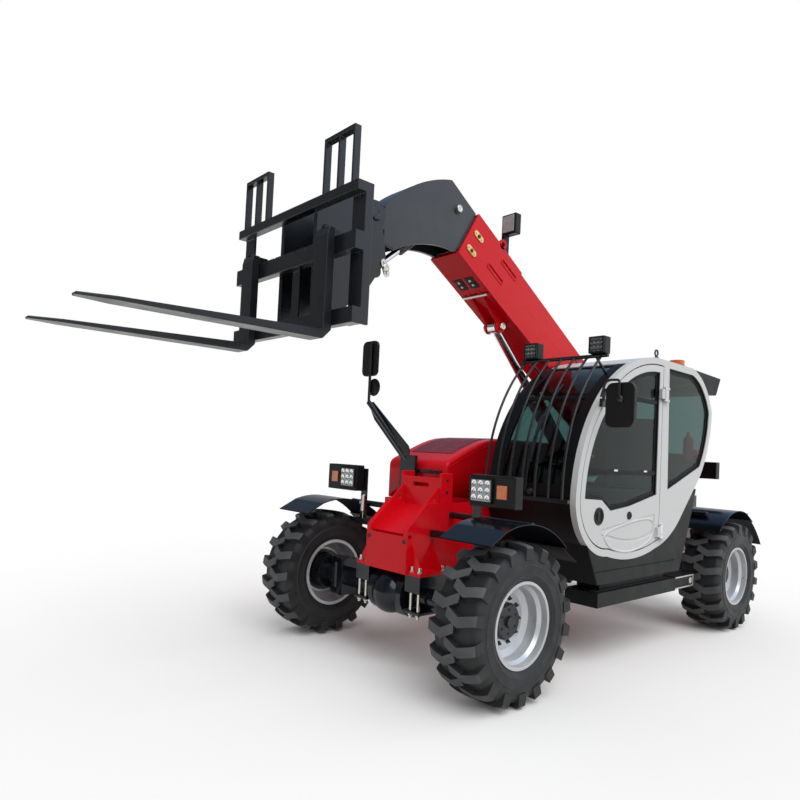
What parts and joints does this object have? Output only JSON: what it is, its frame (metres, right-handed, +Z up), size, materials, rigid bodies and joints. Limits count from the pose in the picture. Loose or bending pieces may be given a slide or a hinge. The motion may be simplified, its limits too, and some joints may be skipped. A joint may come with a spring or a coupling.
{
  "type": "rough terrain forklift",
  "caption": "Compact telescopic-boom rough terrain forklift with side cab, guarded windscreen, fork carriage and lug-tyred steered wheels.",
  "frame": {"origin": "centre of the machine's footprint box on the ground", "axes": "+X forward along the forks, +Y to the machine's left, +Z up"},
  "size_m": [5.4822, 2.24, 3.0155],
  "materials": {
    "red_paint": "gloss",
    "black_paint": "satin",
    "gloss_black": "gloss",
    "white_paint": "gloss",
    "tinted_glass": "clear",
    "seat_cover": "matte",
    "black_plastic": "matte",
    "engine_iron": "matte",
    "grille": "satin",
    "lamp_black": "matte",
    "lamp_lens": "gloss",
    "amber_lens": "gloss",
    "boom_grey": "satin",
    "fork_steel": "satin",
    "chrome_rod": "polished",
    "tyre": "matte",
    "rim_silver": "satin"
  },
  "bodies": {
    "chassis": {"main_frame": "red_paint", "front_axle": "black_paint", "rear_axle": "black_paint", "fenders": "gloss_black", "fender_tubes": "black_paint", "cab_side_left": "white_paint", "quarter_glass": "tinted_glass", "cab_side_right": "black_paint", "side_glass": "tinted_glass", "windscreen": "tinted_glass", "cab_roof": "white_paint", "rear_glass": "tinted_glass", "cab_floor": "black_paint", "windscreen_guard": "black_paint", "seat": "seat_cover", "steering_column": "black_plastic", "lower_body": "black_paint", "engine_bay": "red_paint", "engine_block": "engine_iron", "lamp_boxes": "lamp_black", "lamp_brackets": "black_paint", "counterweight": "black_paint", "mirrors": "black_plastic", "mirror_stalks": "black_paint", "roof_visor": "black_plastic", "lamp_lenses": "lamp_lens", "amber_lenses": "amber_lens"},
    "door": {"door_panel": "white_paint", "door_glass": "tinted_glass"},
    "hood": {"hood": "red_paint", "hood_grille": "grille"},
    "boom": {"outer_boom": "red_paint", "boom_lamp": "lamp_black"},
    "inner": {"inner_boom": "boom_grey", "gooseneck": "boom_grey"},
    "carriage": {"coupler": "black_paint", "fork_carriage": "black_paint", "backrests": "black_paint", "fork_left": "fork_steel", "fork_right": "fork_steel"},
    "lift_rod": {"lift_rod": "chrome_rod"},
    "lift_barrel": {"lift_barrel": "red_paint"},
    "tilt_rod": {"tilt_rod": "chrome_rod"},
    "tilt_barrel": {"tilt_barrel": "black_paint"},
    "knuckle_fl": {"knuckle_fl": "black_paint"},
    "wheel_fl": {"tyre_fl": "tyre", "rim_fl": "rim_silver", "hub_fl": "black_paint"},
    "knuckle_fr": {"knuckle_fr": "black_paint"},
    "wheel_fr": {"tyre_fr": "tyre", "rim_fr": "rim_silver", "hub_fr": "black_paint"},
    "knuckle_rl": {"knuckle_rl": "black_paint"},
    "wheel_rl": {"tyre_rl": "tyre", "rim_rl": "rim_silver", "hub_rl": "black_paint"},
    "knuckle_rr": {"knuckle_rr": "black_paint"},
    "wheel_rr": {"tyre_rr": "tyre", "rim_rr": "rim_silver", "hub_rr": "black_paint"}
  },
  "joints": [
    {"name": "boom_lift", "type": "hinge", "parent": "chassis", "child": "boom", "pos_m": [-2.1611, 0, 1.24], "axis": [0, -1, 0], "range_deg": [-29, 34]},
    {"name": "boom_extend", "type": "slide", "parent": "boom", "child": "inner", "axis": [0.8572, 0, 0.515], "range_m": [0, 1.9]},
    {"name": "fork_tilt", "type": "hinge", "parent": "inner", "child": "carriage", "pos_m": [1.1291, 0, 2.6103], "axis": [0, 1, 0], "range_deg": [-40, 50]},
    {"name": "lift_rod_pivot", "type": "hinge", "parent": "boom", "child": "lift_rod", "pos_m": [-0.11142, 0, 2.17991], "axis": [0, -1, 0], "range_deg": [-6, 7]},
    {"name": "lift_barrel_slide", "type": "slide", "parent": "lift_rod", "child": "lift_barrel", "axis": [-0.7263, 0, -0.6873], "range_m": [-0.35, 0.41]},
    {"name": "tilt_barrel_pivot", "type": "hinge", "parent": "inner", "child": "tilt_barrel", "pos_m": [0.4289, 0, 2.83589], "axis": [0, 1, 0], "range_deg": [-7, 8]},
    {"name": "tilt_rod_slide", "type": "slide", "parent": "tilt_barrel", "child": "tilt_rod", "axis": [0.7659, 0, -0.6429], "range_m": [-0.25, 0.2]},
    {"name": "door_swing", "type": "hinge", "parent": "chassis", "child": "door", "pos_m": [-0.9141, 0.866, 1.3], "axis": [0, 0, 1], "range_deg": [0, 150]},
    {"name": "hood_lift", "type": "hinge", "parent": "chassis", "child": "hood", "pos_m": [-1.4491, -0.515, 0.922], "axis": [0, -1, 0], "range_deg": [0, 60]},
    {"name": "front_steer", "type": "hinge", "parent": "chassis", "child": "knuckle_fl", "pos_m": [0.6889, 0.615, 0.418], "axis": [0, 0, 1], "range_deg": [-35, 35]},
    {"name": "spin_fl", "type": "hinge", "parent": "knuckle_fl", "child": "wheel_fl", "pos_m": [0.6889, 0.805, 0.418], "axis": [0, 1, 0], "continuous": true},
    {"name": "steer_fr", "type": "hinge", "parent": "chassis", "child": "knuckle_fr", "pos_m": [0.6889, -0.615, 0.418], "axis": [0, 0, 1], "range_deg": [-35, 35]},
    {"name": "spin_fr", "type": "hinge", "parent": "knuckle_fr", "child": "wheel_fr", "pos_m": [0.6889, -0.805, 0.418], "axis": [0, 1, 0], "continuous": true},
    {"name": "rear_steer", "type": "hinge", "parent": "chassis", "child": "knuckle_rl", "pos_m": [-2.0611, 0.615, 0.418], "axis": [0, 0, 1], "range_deg": [-35, 35]},
    {"name": "spin_rl", "type": "hinge", "parent": "knuckle_rl", "child": "wheel_rl", "pos_m": [-2.0611, 0.805, 0.418], "axis": [0, 1, 0], "continuous": true},
    {"name": "steer_rr", "type": "hinge", "parent": "chassis", "child": "knuckle_rr", "pos_m": [-2.0611, -0.615, 0.418], "axis": [0, 0, 1], "range_deg": [-35, 35]},
    {"name": "spin_rr", "type": "hinge", "parent": "knuckle_rr", "child": "wheel_rr", "pos_m": [-2.0611, -0.805, 0.418], "axis": [0, 1, 0], "continuous": true}
  ],
  "couplings": [
    {"joint": "lift_rod_pivot", "follows": "boom_lift", "ratio": 0.1529},
    {"joint": "lift_barrel_slide", "follows": "boom_lift", "m_per_rad": 0.6692},
    {"joint": "tilt_barrel_pivot", "follows": "fork_tilt", "ratio": 0.1326},
    {"joint": "tilt_rod_slide", "follows": "fork_tilt", "m_per_rad": -0.2755},
    {"joint": "steer_fr", "follows": "front_steer", "ratio": 1},
    {"joint": "steer_rr", "follows": "rear_steer", "ratio": 1}
  ]
}
